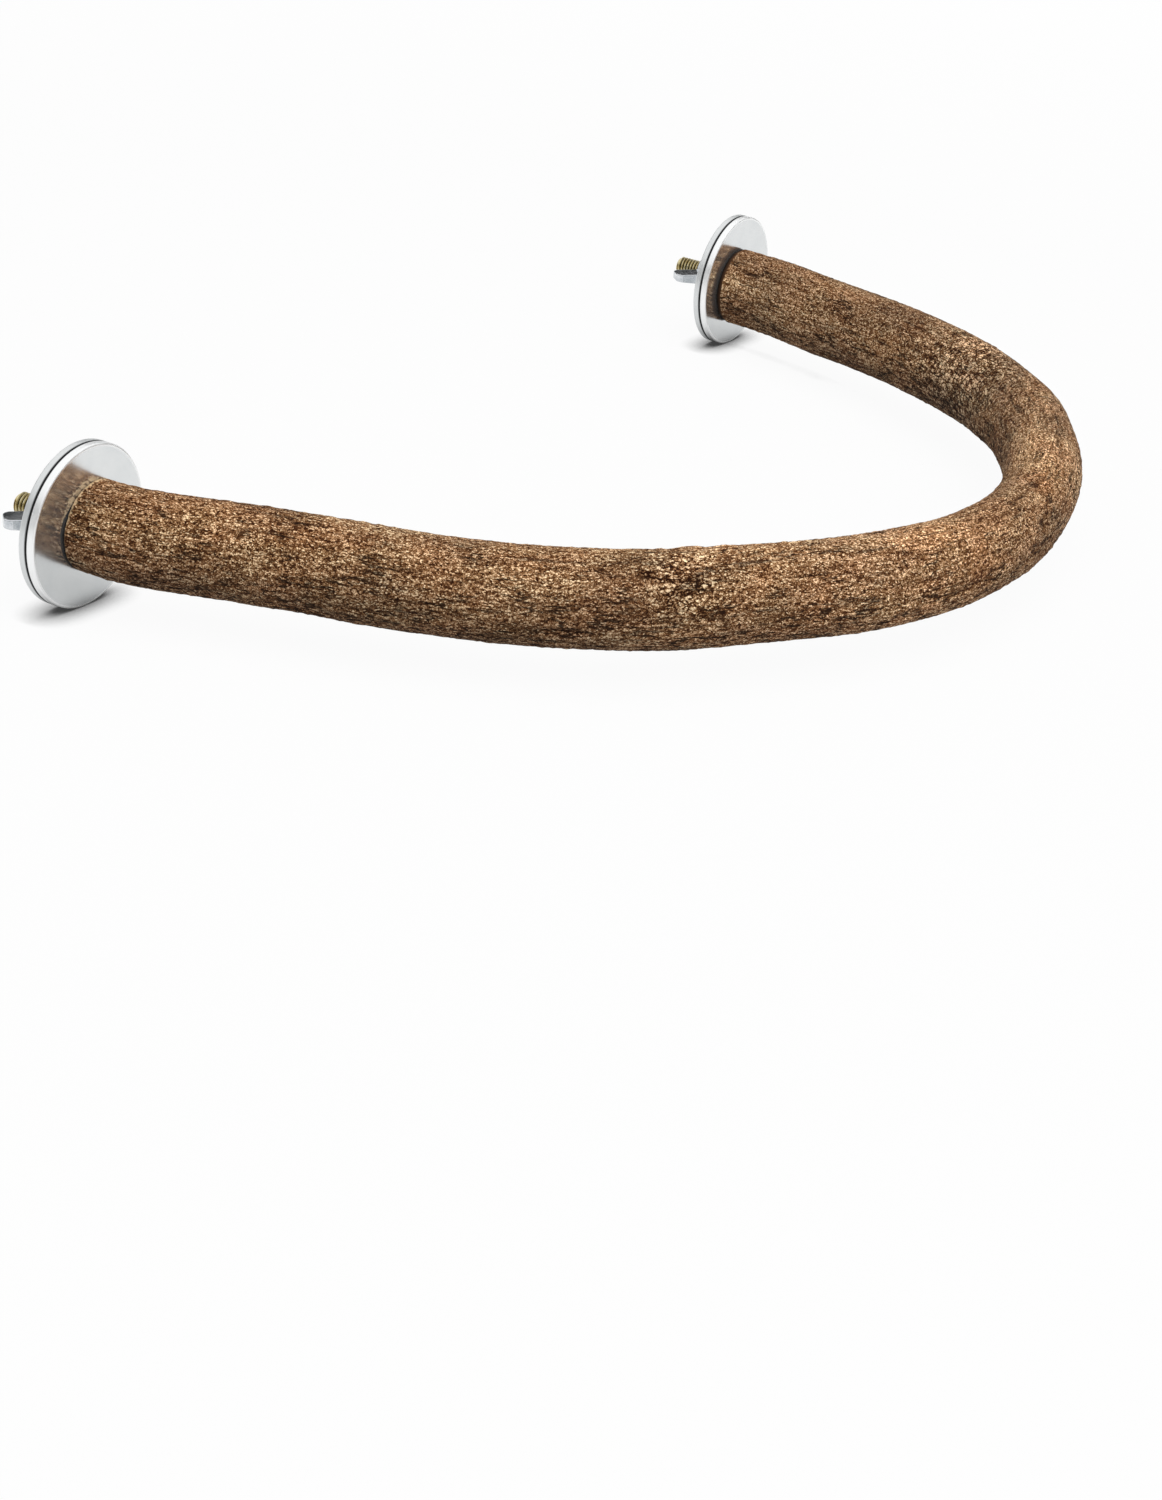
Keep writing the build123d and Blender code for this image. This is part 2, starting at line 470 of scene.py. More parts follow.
def makeBranch():
    line = branchLine()
    length = line.data.splines[0].calc_length(resolution=branchSet["lineSteps"])
    startRadius = branchSet["startRadius"]
    stick = addCylinder(
        "perchBranch", branchSet["around"], startRadius, length, (length / 2, 0, 0),
        rotation=(0, math.pi / 2, 0),
    )
    for cuts in branchSet["cuts"]:
        pickEdges(stick, lambda first, second: (
            abs(first.x - second.x) > abs(first.y - second.y) + abs(first.z - second.z)
        ))
        bpy.ops.mesh.subdivide(number_cuts=cuts)
    leaveEdit()

    # thickness along the stick, a little under size so that the bark has room
    points = readPoints(stick)
    halfWidth, halfHeight = ringSizes(points[:, 0] / length)
    points[:, 1] *= (halfWidth - branchSet["barkAllowance"]) / startRadius
    points[:, 2] *= (halfHeight - branchSet["barkAllowance"]) / startRadius
    plain = points.copy()
    writePoints(stick, points)
    for layer in branchSet["relief"]:
        layBark(stick, *layer)

    # cracks, scars, bumps and knots
    points = readPoints(stick)
    radius = np.hypot(points[:, 1], points[:, 2])
    bearing = np.arctan2(points[:, 2], points[:, 1])
    rise = np.zeros(len(points))
    for along, roundDegrees, reach, width, lift in branchSet["marks"] + crackRows(length):
        offset = np.angle(np.exp(1j * (bearing - math.radians(roundDegrees)))) * radius / mm
        ahead = (points[:, 0] / mm - along) / reach
        rise += lift * mm * np.exp(-ahead ** 2 - (offset / width) ** 2)
    # nothing stands outside the branch's own size
    limit = np.hypot(halfWidth * np.cos(bearing), halfHeight * np.sin(bearing))
    newRadius = np.minimum(radius + rise, limit)
    points[:, 1] = newRadius * np.cos(bearing)
    points[:, 2] = newRadius * np.sin(bearing)
    points[:, 0] = plain[:, 0]
    writePoints(stick, points)
    plainRadius = np.hypot(plain[:, 1], plain[:, 2])
    keepAsVector(stick, "stick", plain)
    keepAsFloat(stick, "relief", (newRadius - plainRadius) / mm)

    # bent along its line, then the sawn ends
    useModifier(stick, "CURVE", object=line, deform_axis="POS_X")
    bpy.data.objects.remove(line)
    stick.data.materials.append(barkMaterial())
    stick.data.materials.append(sawnMaterial())
    shrink = 1 - branchSet["chamferDepth"] / startRadius
    hole = branchSet["pilotRadius"] / startRadius
    for name, side in endSide.items():
        chamfer = branchSet["endChamfer"][name]
        sawLine = washerThickness + chamfer
        pickFaces(stick, lambda centre, normal: (
            normal.x < -square and centre.x < 2 * sawLine and centre.y * side > 0
        ))
        endCentre = Vector((sawLine, side * (halfSpacing - branchSet["endInset"]), 0))
        scalePicked(endCentre, 0, 1, 1)
        pullPicked(-chamfer, 0, 0)
        scalePicked(endCentre, 1, shrink, shrink)
        # pilot hole, on the bolt's axis
        pullPicked(0, 0, 0)
        scalePicked(Vector((0, side * halfSpacing, 0)), 1, hole, hole)
        pullPicked(branchSet["pilotDepth"], 0, 0)
        pickFaces(stick, lambda centre, normal: centre.y * side > halfSpacing / 2 and centre.x < sawLine)
        bpy.context.object.active_material_index = 1
        bpy.ops.object.material_slot_assign()
        leaveEdit()
    smoothUnder(stick, branchSet["smoothUnder"])
    return stick


# here and in the finishes below, four numbers in a row are a range: what comes in, low and high,
# and what goes out for each
barkSet = {
    # tone and colour, from the gaps between flecks to the palest flecks
    "tones": [
        (0.18, paint(30, 10, 2)),
        (0.32, paint(69, 39, 17)),
        (0.47, paint(121, 86, 56)),
        (0.62, paint(163, 129, 97)),
        (0.80, paint(232, 206, 172)),
    ],
    # dark cracks, and the painted shade in the hollows
    "crackAndHollowShade": paint(26, 13, 6),
    "halfLength": 245.15 * mm,  # about half of the straight stick
    # flecks per metre across the grain, their gaps and what makes their edges ragged
    "fleckScale": 2900,
    "fleckStretch": (0.7, 1, 1),
    "fleckGap": (0, 0.15, -0.26, 0.06),
    "ragged": {"scale": 1900},
    "raggedShift": 0.5 * mm,
    "fine": {"scale": 3600, "detail": 3, "roughness": 0.65},
    "fibre": {"scale": 1500, "stretch": (0.1, 1, 1)},
    "evenTone": (0.3, 0.7, 0, 1),
    "weights": {"fleck": 0.46, "fine": 0.36, "fibre": 0.18, "relief": 0.14},
    # larger chunks, with the middle of each coarse place, how far it is full and where it ends
    "chunkScale": 1050,
    "chunkTone": (0, 1, -0.16, 0.34),
    "chunkGap": (0, 0.2, -0.32, 0.1),
    "coarse": [
        ((0.137, -0.0085, 0.0085), 4 * mm, 13 * mm),
        ((0.379, 0.011, 0.004), 12 * mm, 34 * mm),
    ],
    # patches of lighter and darker bark, redder and greener ones
    "patch": {"scale": 75, "stretch": (0.4, 1, 1), "detail": 3},
    "patchStops": [(0.36, (0.80, 0.79, 0.79, 1)), (0.62, (1.16, 1.14, 1.10, 1))],
    "hue": {"scale": 130, "stretch": (0.5, 1, 1)},
    "hueStops": [(0.38, (1.04, 0.985, 0.94, 1)), (0.62, (0.97, 1.0, 0.98, 1))],
    # wavy fissures: their lines, where they lie, and how much they sink
    "fissure": {"scale": 420, "stretch": (0.2, 1, 1), "detail": 3, "roughness": 0.6},
    "fissureLine": (0.010, 0.038, 0.92, 0),
    "fissureWhere": {"scale": 190, "stretch": (0.5, 1, 1)},
    "fissureLow": (8 * mm, -8 * mm, -0.06, 0.13),
    "fissureShare": (0.42, 0.58, 0, 1),
    "fissureSink": 0.6,
    # wrinkles across the grain, between two places along the stick
    "wrinkle": {"scale": 620, "stretch": (1, 0.22, 0.22), "roughness": 0.6},
    "wrinkleLine": (0.008, 0.040, 0.75, 0),
    "wrinkleStart": (300 * mm, 335 * mm, 0, 1),
    "wrinkleEnd": (385 * mm, 425 * mm, 1, 0),
    "wrinkleSink": 0.8,
    # long dark streaks, and painted shade in the hollows, darker with the depth of the relief
    "streak": {"scale": 520, "stretch": (0.09, 1, 1)},
    "streakShare": (0.38, 0.28, 0, 0.7),
    "hollowShade": (-0.45, -0.9, 0, 0.8),
    # painted light and shade: darker under side, lighter top on the near leg and the bend, darker top on the
    # far leg
    "sides": [
        {"colour": (0.82, 0.80, 0.80, 1), "height": (2 * mm, -10 * mm, 0, 1), "along": []},
        {
            "colour": (1.16, 1.16, 1.14, 1),
            "height": (5 * mm, 10 * mm, 0, 1),
            "along": [(0.24, 0.31, 0.75, 1), (0.6, 0.7, 1, 0)],
        },
        {"colour": (0.84, 0.83, 0.82, 1), "height": (2 * mm, 9 * mm, 0, 1), "along": [(0.80, 0.87, 0, 1)]},
    ],
    # painted light and shade along the stick, as a share of its length
    "along": [
        (0.0, 1.08), (0.09, 1.10), (0.17, 0.96), (0.25, 1.06), (0.31, 1.26), (0.42, 1.44),
        (0.46, 1.24), (0.57, 1.27), (0.68, 1.24), (0.78, 1.08), (0.89, 1.2), (0.96, 1.38),
    ],
    # torn pale rim at the sawn ends
    "sawRim": paint(222, 192, 150),
    "rimReach": 0.9 * mm,  # how far the saw has torn the bark back
    "rimGrain": [(0.3, (0.45, 0.4, 0.35, 1)), (0.6, (1, 1, 1, 1))],
    "rimGrainShare": 0.6,
    "rimEdge": (-0.1 * mm, 0.2 * mm, 0, 0.9),
    "torn": {"scale": 1100, "stretch": (0.35, 1, 1), "detail": 3},
    "tornShare": (0.4, 0.65, 0.1, 1),
    "tornTop": (1 * mm, 9 * mm, 0, 1),
    "tornRight": (0.4, 0.6, 1, 0.35),  # cleaner cut on the right
    "roughness": (0, 1, 0.95, 0.62),
    "gloss": 0.12,
    "bump": (0.6, 0.4 * mm),
}


def fleckTone(tree, stick, relief):  # tone of the flecks and chunks, and the fine grain in it
    weights = barkSet["weights"]
    # flecks, longer than wide, with ragged edges and dark gaps between them
    drawn = stretched(tree, stick, barkSet["fleckStretch"])
    ragged = noise(tree, drawn, barkSet["ragged"], "Color")
    shift = vectorMaths(tree, "SUBTRACT", {0: ragged, 1: (0.5, 0.5, 0.5)})
    shift = vectorMaths(tree, "SCALE", {0: shift, "Scale": barkSet["raggedShift"]})
    loose = vectorMaths(tree, "ADD", {0: drawn, 1: shift})
    fleck, fleckEdge = cells(tree, loose, barkSet["fleckScale"])
    fine = noise(tree, loose, barkSet["fine"])
    fineTone = spread(tree, fine, *barkSet["evenTone"])
    fibreTone = spread(tree, noise(tree, stick, barkSet["fibre"]), *barkSet["evenTone"])
    tone = weighted(
        tree, (fleck, weights["fleck"]), (fineTone, weights["fine"]), (fibreTone, weights["fibre"]),
    )
    gap = spread(tree, fleckEdge, *barkSet["fleckGap"])
    # the relief also goes into the tone, so raised bark comes out paler and hollows darker: painted light and
    # shade
    tone = total(tree, tone, gap, product(tree, relief, weights["relief"]))
    # larger chunks with deep gaps, at a scar and inside the bend
    chunk, chunkEdge = cells(tree, loose, barkSet["chunkScale"])
    chunkTone = spread(tree, chunk, *barkSet["chunkTone"])
    chunkLift = total(tree, chunkTone, spread(tree, chunkEdge, *barkSet["chunkGap"]))
    for middle, full, none in barkSet["coarse"]:
        away = vectorMaths(tree, "DISTANCE", {0: stick, 1: middle}, "Value")
        tone = total(tree, tone, product(tree, chunkLift, spread(tree, away, full, none, 1, 0)))
    return tone, fine


def barkMaterial():
    material, tree, shader = newMaterial("granularBark")
    stick = attribute(tree, "stick", "Vector")
    relief = attribute(tree, "relief", "Fac")
    parts = axes(tree, stick)
    along = parts["X"]
    height = parts["Z"]
    halfLength = barkSet["halfLength"]
    alongShare = maths(tree, "DIVIDE", along, 2 * halfLength)
    tone, fine = fleckTone(tree, stick, relief)
    colour = ramp(tree, tone, barkSet["tones"])
    patch = ramp(tree, noise(tree, stick, barkSet["patch"]), barkSet["patchStops"])
    colour = tint(tree, 1.0, colour, patch)
    # fine wavy fissures, thickest on the lower side
    lowness = spread(tree, height, *barkSet["fissureLow"])
    where = total(tree, noise(tree, stick, barkSet["fissureWhere"]), lowness)
    fissureLine = spread(tree, veins(tree, stick, barkSet["fissure"]), *barkSet["fissureLine"])
    fissure = product(tree, fissureLine, spread(tree, where, *barkSet["fissureShare"]))
    # wrinkles where the wood was bent
    wrinkleLine = spread(tree, veins(tree, stick, barkSet["wrinkle"]), *barkSet["wrinkleLine"])
    bentUp = spread(tree, along, *barkSet["wrinkleStart"])
    bentDown = spread(tree, along, *barkSet["wrinkleEnd"])
    wrinkle = product(tree, wrinkleLine, bentUp, bentDown)
    streak = spread(tree, noise(tree, stick, barkSet["streak"]), *barkSet["streakShare"])
    # painted shade in the hollows of the relief
    hollowShade = spread(tree, relief, *barkSet["hollowShade"])
    for dark in (fissure, wrinkle, streak, hollowShade):
        colour = cover(tree, dark, colour, barkSet["crackAndHollowShade"])
    for line, sink in ((fissure, barkSet["fissureSink"]), (wrinkle, barkSet["wrinkleSink"])):
        tone = maths(tree, "SUBTRACT", tone, product(tree, line, sink))
    hue = ramp(tree, noise(tree, stick, barkSet["hue"]), barkSet["hueStops"])
    colour = tint(tree, 1.0, colour, hue)
    # painted light and shade on the sides, then painted light and shade along the stick
    for side in barkSet["sides"]:
        share = spread(tree, height, *side["height"])
        for stretch in side["along"]:
            share = product(tree, share, spread(tree, alongShare, *stretch))
        colour = tint(tree, share, colour, side["colour"])
    # painted light and shade along the stick
    paintedShading = ramp(tree, alongShare, [(place, (light, light, light, 1)) for place, light in barkSet["along"]])
    colour = tint(tree, 1.0, colour, paintedShading)
    # torn pale rim at the sawn ends, widest on top
    fromMiddle = maths(tree, "ABSOLUTE", maths(tree, "SUBTRACT", along, halfLength))
    fromEnd = maths(tree, "SUBTRACT", halfLength, fromMiddle)
    tornShare = spread(tree, noise(tree, stick, barkSet["torn"]), *barkSet["tornShare"])
    onTop = spread(tree, height, *barkSet["tornTop"])
    cleaner = spread(tree, alongShare, *barkSet["tornRight"])
    tornReach = product(tree, tornShare, onTop, barkSet["rimReach"], cleaner)
    rim = spread(tree, maths(tree, "SUBTRACT", tornReach, fromEnd), *barkSet["rimEdge"])
    fineColour = ramp(tree, fine, barkSet["rimGrain"])
    rimColour = tint(tree, barkSet["rimGrainShare"], barkSet["sawRim"], fineColour)
    setSockets(tree, shader, {
        "Base Color": cover(tree, rim, colour, rimColour),
        "Roughness": spread(tree, tone, *barkSet["roughness"]),
        "Specular IOR Level": barkSet["gloss"],
        "Normal": bump(tree, tone, *barkSet["bump"]),
    })
    return material


sawnSet = {
    "ringGap": 1.1 * mm,
    "sway": {"scale": 260},
    "saw": {"scale": 2200, "stretch": (1, 0.15, 1)},
    "weights": {"ring": 0.6, "saw": 0.4},
    "tones": [(0.2, paint(238, 214, 178)), (0.8, paint(208, 172, 130))],  # early and late wood
    "flakes": {"scale": 900},
    "flakeShare": (0.5, 0.58, 0, 0.85),
    "bark": paint(96, 68, 48),
    # painted shadow in the gap at the washer: fades out towards the top of the left end, runs all round the
    # right one
    "paintedShadowDepth": {"left": 0.7 * mm, "right": 1.7 * mm},
    "leftPaintedShadow": (3 * mm, 8 * mm),  # heights between which it fades
    "rightPaintedShadow": (0, 100 * mm),  # places along Y between which it sets in
    "gapTones": [(0.1, paint(24, 18, 14)), (0.9, paint(74, 50, 33))],
    "paintedShadowEdge": (0, 0.1 * mm, 0, 1),
    "roughness": (0.3, 0.7, 0.7, 0.9),
    "gloss": 0.1,
    "bump": (0.3, 0.2 * mm),
}


def sawnMaterial():
    material, tree, shader = newMaterial("sawnWood")
    place = objectPlace(tree)
    reach = reachFrom(tree, place, branchSet["endInset"])
    turns = total(tree, maths(tree, "DIVIDE", reach, sawnSet["ringGap"]), noise(tree, place, sawnSet["sway"]))
    ringTone = maths(tree, "FRACT", turns)
    saw = noise(tree, place, sawnSet["saw"])
    weights = sawnSet["weights"]
    tone = weighted(tree, (ringTone, weights["ring"]), (saw, weights["saw"]))
    colour = ramp(tree, tone, sawnSet["tones"])
    # bark breaks over the rim here and there, and the rim gets a painted shadow where it meets the washer
    flakes = spread(tree, noise(tree, place, sawnSet["flakes"]), *sawnSet["flakeShare"])
    colour = cover(tree, flakes, colour, sawnSet["bark"])
    parts = axes(tree, place)
    depth = sawnSet["paintedShadowDepth"]
    leftLine = spread(tree, parts["Z"], *sawnSet["leftPaintedShadow"], depth["left"], 0)
    rightLine = spread(tree, parts["Y"], *sawnSet["rightPaintedShadow"], 0, depth["right"])
    fromWasher = maths(tree, "SUBTRACT", parts["X"], washerThickness)
    inPaintedShadow = maths(tree, "SUBTRACT", maths(tree, "MAXIMUM", leftLine, rightLine), fromWasher)
    paintedShadowColour = ramp(tree, maths(tree, "DIVIDE", fromWasher, depth["right"]), sawnSet["gapTones"])
    setSockets(tree, shader, {
        "Base Color": cover(tree, spread(tree, inPaintedShadow, *sawnSet["paintedShadowEdge"]), colour, paintedShadowColour),
        "Roughness": spread(tree, saw, *sawnSet["roughness"]),
        "Specular IOR Level": sawnSet["gloss"],
        "Normal": bump(tree, saw, *sawnSet["bump"]),
    })
    return material


# washers: one is modelled, the four are copies

washerSet = {
    "sides": 160,
    "holeRadius": 3.25 * mm,
    "rimRound": 0.5 * mm,
    "rimSteps": 5,
    "holeEdge": 0.12 * mm,
    "holeSteps": 2,
    "smoothUnder": 40,  # degrees
    "flatness": 100,  # weight of the large faces, so that they shade flat
    # finish: rings left by the polish, clouds and scratches
    "polish": {"Scale": 9000, "Detail": 2},
    "cloud": {"scale": 140, "detail": 3},
    "scratch": {"scale": 3500, "stretch": (0.08, 1, 1), "detail": 1},
    "weights": {"polish": 0.5, "cloud": 0.5},
    "tones": [(0.35, paint(216, 219, 220)), (0.65, paint(228, 230, 230))],
    "metallic": 0.94,
    "roughness": (0.7, 1.3, 0.13, 0.20),
    "bump": (0.02, 0.1 * mm),
    # rims: where they begin, in from the edge; the inner washers' get a painted highlight, and all are
    # brushed
    "rimStart": (0.9 * mm, 0.5 * mm),
    "rim": paint(251, 252, 252),
    "highlightedSide": (-0.1 * mm, 0.1 * mm, 0, 1),
    "brushed": 0.2,
    # painted shade where two washers close
    "seamShade": paint(58, 59, 60),
    "seamHeight": (0.22 * mm, 0.5 * mm, 1, 0),
    "seamDull": 0.35,
}


def makeWasher():  # lies on XY, closing face down, with its hole on the Z axis
    washer = addCylinder(
        "washer", washerSet["sides"], washerRadius, washerThickness, (0, 0, washerThickness / 2),
    )
    # hole: both faces inset to its size, then bridged through
    pickFaces(washer, lambda centre, normal: abs(normal.z) > square)
    bpy.ops.mesh.inset(thickness=washerRadius - washerSet["holeRadius"], use_boundary=True)
    bpy.ops.mesh.bridge_edge_loops()
    leaveEdit()
    rimReach = washerRadius - hair
    pickEdges(washer, lambda first, second: (
        min(first.xy.length, second.xy.length) > rimReach and level(first, second)
    ))
    roundPicked(washerSet["rimRound"], washerSet["rimSteps"])
    holeReach = washerSet["holeRadius"] + hair
    pickEdges(washer, lambda first, second: (
        max(first.xy.length, second.xy.length) < holeReach and level(first, second)
    ))
    roundPicked(washerSet["holeEdge"], washerSet["holeSteps"])
    fixNormals(washer)
    keepAsVector(washer, "disc", readPoints(washer))
    washer.data.materials.append(washerMaterial())
    smoothUnder(washer, washerSet["smoothUnder"])
    useModifier(washer, "WEIGHTED_NORMAL", weight=washerSet["flatness"], keep_sharp=True)
    return washer


def washerMaterial():
    material, tree, shader = newMaterial("polishedSteel")
    disc = attribute(tree, "disc", "Vector")
    reach = vectorMaths(tree, "LENGTH", {0: stretched(tree, disc, (1, 1, 0))}, "Value")
    polishSockets = {"W": reach, **washerSet["polish"]}
    polish = addNode(tree, "ShaderNodeTexNoise", polishSockets, noise_dimensions="1D").outputs["Fac"]
    cloud = noise(tree, disc, washerSet["cloud"])
    scratch = noise(tree, disc, washerSet["scratch"])
    weights = washerSet["weights"]
    tone = weighted(tree, (polish, weights["polish"]), (cloud, weights["cloud"]))
    colour = ramp(tree, tone, washerSet["tones"])
    # the inner washers' rims, on the +X side, get a painted highlight
    start, full = washerSet["rimStart"]
    onRim = spread(tree, reach, washerRadius - start, washerRadius - full, 0, 1)
    inner = spread(tree, axes(tree, objectPlace(tree))["X"], *washerSet["highlightedSide"])
    colour = cover(tree, product(tree, onRim, inner), colour, washerSet["rim"])
    # the rim's edge on the closing side gets painted shade
    seamShade = product(tree, spread(tree, axes(tree, disc)["Z"], *washerSet["seamHeight"]), onRim)
    shine = spread(tree, total(tree, cloud, scratch), *washerSet["roughness"])
    brushed = product(tree, onRim, washerSet["brushed"])
    dull = product(tree, seamShade, washerSet["seamDull"])
    setSockets(tree, shader, {
        "Base Color": cover(tree, seamShade, colour, washerSet["seamShade"]),
        "Metallic": washerSet["metallic"],
        "Roughness": total(tree, shine, brushed, dull),
        "Normal": bump(tree, scratch, *washerSet["bump"]),
    })
    return material


# hanger bolts: the frame's own solids, with a yellow zinc finish

boltSet = {
    "cloud": {"scale": 420, "detail": 3},
    "grain": {"scale": 5200},
    "weights": {"cloud": 0.75, "grain": 0.25},
    # bronze, yellow and straw
    "tones": [(0.32, paint(158, 134, 92)), (0.48, paint(206, 188, 136)), (0.66, paint(230, 222, 190))],
    # painted shade between the thread's root and crest, but not on the tip
    "threadRootShade": paint(52, 44, 26),
    "rootReach": (2.45 * mm, 2.85 * mm, 0.92, 0),
    "threadEnd": (-18.0 * mm, -17.6 * mm, 0, 1),
    "roughness": (0.3, 0.7, 0.2, 0.34),
    "bump": (0.05, 0.1 * mm),
}


def platedTone(tree, place, finish):  # clouds and grain of a plated finish
    cloud = noise(tree, place, finish["cloud"])
    grain = noise(tree, place, finish["grain"])
    weights = finish["weights"]
    return weighted(tree, (cloud, weights["cloud"]), (grain, weights["grain"])), grain


def zincMaterial():
    material, tree, shader = newMaterial("yellowZinc")
    place = objectPlace(tree)
    tone, grain = platedTone(tree, place, boltSet)
    plate = ramp(tree, tone, boltSet["tones"])
    # painted shade in the thread's roots
    roots = spread(tree, reachFrom(tree, place, 0), *boltSet["rootReach"])
    onThread = spread(tree, axes(tree, place)["X"], *boltSet["threadEnd"])
    setSockets(tree, shader, {
        "Base Color": cover(tree, product(tree, roots, onThread), plate, boltSet["threadRootShade"]),
        "Metallic": 1.0,
        "Roughness": spread(tree, grain, *boltSet["roughness"]),
        "Normal": bump(tree, grain, *boltSet["bump"]),
    })
    return material


# wing nuts: one is modelled, the other is a copy

nutSet = {
    "sides": 96,
    "baseRadius": 6.0 * mm,
    "topRadius": 5.0 * mm,
    "height": 8.0 * mm,
    "edgeRound": 0.5 * mm,
    "edgeSteps": 4,
    "lugRoot": (2.95 * mm, 2.5 * mm),  # out from the axis, and up from the seat
    "lugTilt": 45,
    "lugLength": 12.6 * mm,
    "lugWidth": 6.4 * mm,
    "lugThickness": 2.2 * mm,
    "rootSwell": 1.6,  # the lug is this much thicker at its root
    "cornerRound": 1.9 * mm,
    "cornerSteps": 8,
    "boreSides": 64,
    "boreRadius": 3.05 * mm,
    "mouthRadius": 3.4 * mm,
    "mouthDepth": 0.4 * mm,
    "overshoot": 1 * mm,  # of the drill, past both faces
    "voxel": 0.13 * mm,
    "melt": 14,  # rounds of smoothing, for soft cast edges
    "meltFactor": 0.5,
    "keep": 0.3,  # share of the faces kept
    "smoothUnder": 40,  # degrees
    "cloud": {"scale": 500, "detail": 3},
    "grain": {"scale": 3800},
    "weights": {"cloud": 0.6, "grain": 0.4},
    "tones": [(0.35, paint(182, 187, 192)), (0.62, paint(226, 228, 231))],
    "roughness": (0.35, 0.65, 0.06, 0.14),
    "bump": (0.05, 0.1 * mm),
}


def makeLug():  # a flat lug, leaning out from the hub
    length = nutSet["lugLength"]
    pickNothing()
    bpy.ops.mesh.primitive_cube_add(size=1, location=(length / 2, 0, 0))
    lug = newPiece("lug")
    lug.scale = (length, nutSet["lugThickness"], nutSet["lugWidth"])
    freeze(lug)
    pickFaces(lug, lambda centre, normal: normal.x < -square)
    scalePicked((0, 0, 0), 1, nutSet["rootSwell"], 1)
    # the two outer corners
    pickEdges(lug, lambda first, second: min(first.x, second.x) > length - hair and level(first, second))
    roundPicked(nutSet["cornerRound"], nutSet["cornerSteps"])
    out, up = nutSet["lugRoot"]
    lean = Matrix.Rotation(-math.radians(nutSet["lugTilt"]), 4, "Y")
    lug.matrix_world = Matrix.Translation((out, 0, up)) @ lean
    freeze(lug)
    return lug


def makeNut():  # stands on XY with its axis on Z, and its lugs on the X sides
    height = nutSet["height"]
    middle = (0, 0, height / 2)
    nut = addCylinder("wingNut", nutSet["sides"], nutSet["baseRadius"], height, middle)
    pickFaces(nut, lambda centre, normal: normal.z > square)
    taper = nutSet["topRadius"] / nutSet["baseRadius"]
    scalePicked((0, 0, 0), taper, taper, 1)
    pickEdges(nut, level)
    roundPicked(nutSet["edgeRound"], nutSet["edgeSteps"])
    lug = makeLug()
    twin = copyPiece(lug, "lugTwin")
    twin.matrix_world = Matrix.Rotation(math.pi, 4, "Z")
    freeze(twin)
    # cast in one: joined, melted together and thinned
    pickOnly(nut)
    lug.select_set(True)
    twin.select_set(True)
    bpy.ops.object.join()
    useModifier(nut, "REMESH", mode="VOXEL", voxel_size=nutSet["voxel"])
    useModifier(nut, "SMOOTH", factor=nutSet["meltFactor"], iterations=nutSet["melt"])
    useModifier(nut, "DECIMATE", ratio=nutSet["keep"])
    # bore with a countersunk mouth at both ends
    deep = nutSet["mouthDepth"]
    drill = addCylinder("drill", nutSet["boreSides"], nutSet["boreRadius"], height - 2 * deep, middle)
    flare = nutSet["mouthRadius"] / nutSet["boreRadius"]
    for way in (-1, 1):
        pickFaces(drill, lambda centre, normal: normal.z * way > square)
        pullPicked(0, 0, way * deep)
        scalePicked((0, 0, 0), flare, flare, 1)
        pullPicked(0, 0, way * nutSet["overshoot"])
        leaveEdit()
    useModifier(nut, "BOOLEAN", operation="DIFFERENCE", object=drill, solver="EXACT")
    bpy.data.objects.remove(drill)
    nut.data.materials.clear()
    nut.data.materials.append(nutMaterial())
    smoothUnder(nut, nutSet["smoothUnder"])
    return nut


def nutMaterial():
    material, tree, shader = newMaterial("brightPlating")
    tone, grain = platedTone(tree, objectPlace(tree), nutSet)
    setSockets(tree, shader, {
        "Base Color": ramp(tree, tone, nutSet["tones"]),
        "Metallic": 1.0,
        "Roughness": spread(tree, tone, *nutSet["roughness"]),
        "Normal": bump(tree, grain, *nutSet["bump"]),
    })
    return material


# assembly

branch = makeBranch()
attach(branch, "perch")
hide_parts("perch_branch")
print("branch: faces", len(branch.data.polygons))

washer = makeWasher()
nut = makeNut()
zinc = zincMaterial()
for name, side in endSide.items():
    axisY = side * halfSpacing
    # the two close face to face at x 0
    for stem, body, turn in (("inner", "perch", 90), ("outer", "clamp_washer_" + name, -90)):
        twin = copyPiece(washer, stem + "Washer" + name.capitalize())
        twin.matrix_world = Matrix.Translation((0, axisY, 0)) @ Matrix.Rotation(math.radians(turn), 4, "Y")
        freeze(twin)
        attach(twin, body)
        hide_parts(stem + "_washer_" + name)
    # the nut's seat is the outer washer's back, its lugs lie level
    twin = copyPiece(nut, "wingNut" + name.capitalize())
    twin.matrix_world = Matrix((
        (0, 0, -1, -washerThickness),
        (-1, 0, 0, axisY),
        (0, 1, 0, 0),
        (0, 0, 0, 1),
    ))
    freeze(twin)
    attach(twin, "nut_" + name)
    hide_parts("wing_nut_" + name)
    boltFinish = frame["nodes"]["hanger_bolt_" + name].data.materials
    boltFinish.clear()
    boltFinish.append(zinc)
bpy.data.objects.remove(washer)
bpy.data.objects.remove(nut)
print("hardware: faces of a nut", len(twin.data.polygons))


# studio

